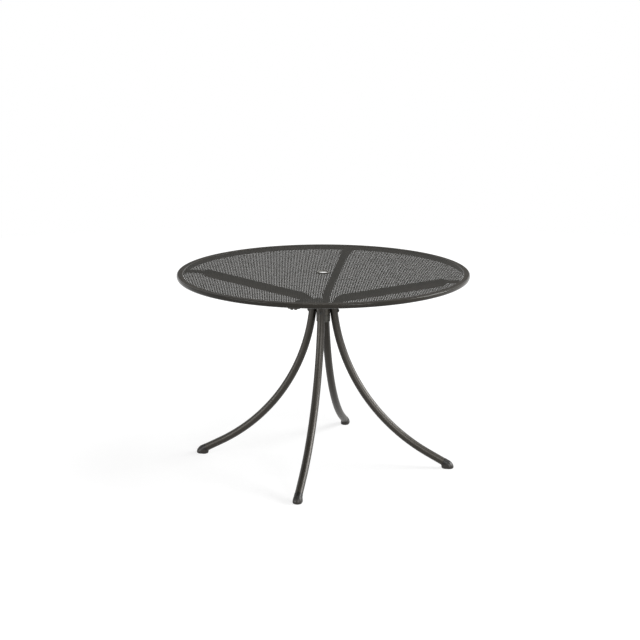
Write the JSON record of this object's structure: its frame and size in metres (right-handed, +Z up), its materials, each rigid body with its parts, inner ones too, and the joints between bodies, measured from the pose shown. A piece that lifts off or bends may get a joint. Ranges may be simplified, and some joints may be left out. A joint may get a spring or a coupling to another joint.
{
  "type": "round garden table",
  "caption": "Round steel patio dining table: fine mesh top in a rolled rim, umbrella hole with collar, bent tube legs flattened under the rim and screwed to a central hub, moulded foot shoes",
  "frame": {"origin": "on the floor, below the centre of the top", "axes": "+Z up along the umbrella hole; the four legs lie along +X, +Y, -X and -Y"},
  "size_m": [1.0659, 1.066, 0.724],
  "materials": {
    "rim_coat": "satin powder coat on rolled steel tube",
    "mesh_coat": "satin powder coat on steel mesh",
    "leg_coat": "satin powder coat on bent steel tube",
    "hub_coat": "satin powder coat on steel",
    "collar_moulding": "moulded, fine matt grain",
    "guide_moulding": "moulded, fine matt grain",
    "shoe_moulding": "moulded, soft satin",
    "black_zinc": "black zinc plate, dull"
  },
  "bodies": {
    "root": {"rim_ring": "rim_coat", "mesh_top": "mesh_coat", "umbrella_collar": "collar_moulding", "collar_backing_ring": "collar_moulding", "leg_right": "leg_coat", "leg_back": "leg_coat", "leg_left": "leg_coat", "leg_front": "leg_coat", "shoe_right": "shoe_moulding", "shoe_back": "shoe_moulding", "shoe_left": "shoe_moulding", "shoe_front": "shoe_moulding", "hub_upper_ring": "hub_coat", "hub_lower_ring": "guide_moulding", "hub_screws": "black_zinc", "hub_saddle_washers": "black_zinc", "rim_bolts": "black_zinc", "rim_washers": "black_zinc", "rim_weld_nuts": "black_zinc"}
  },
  "joints": []
}
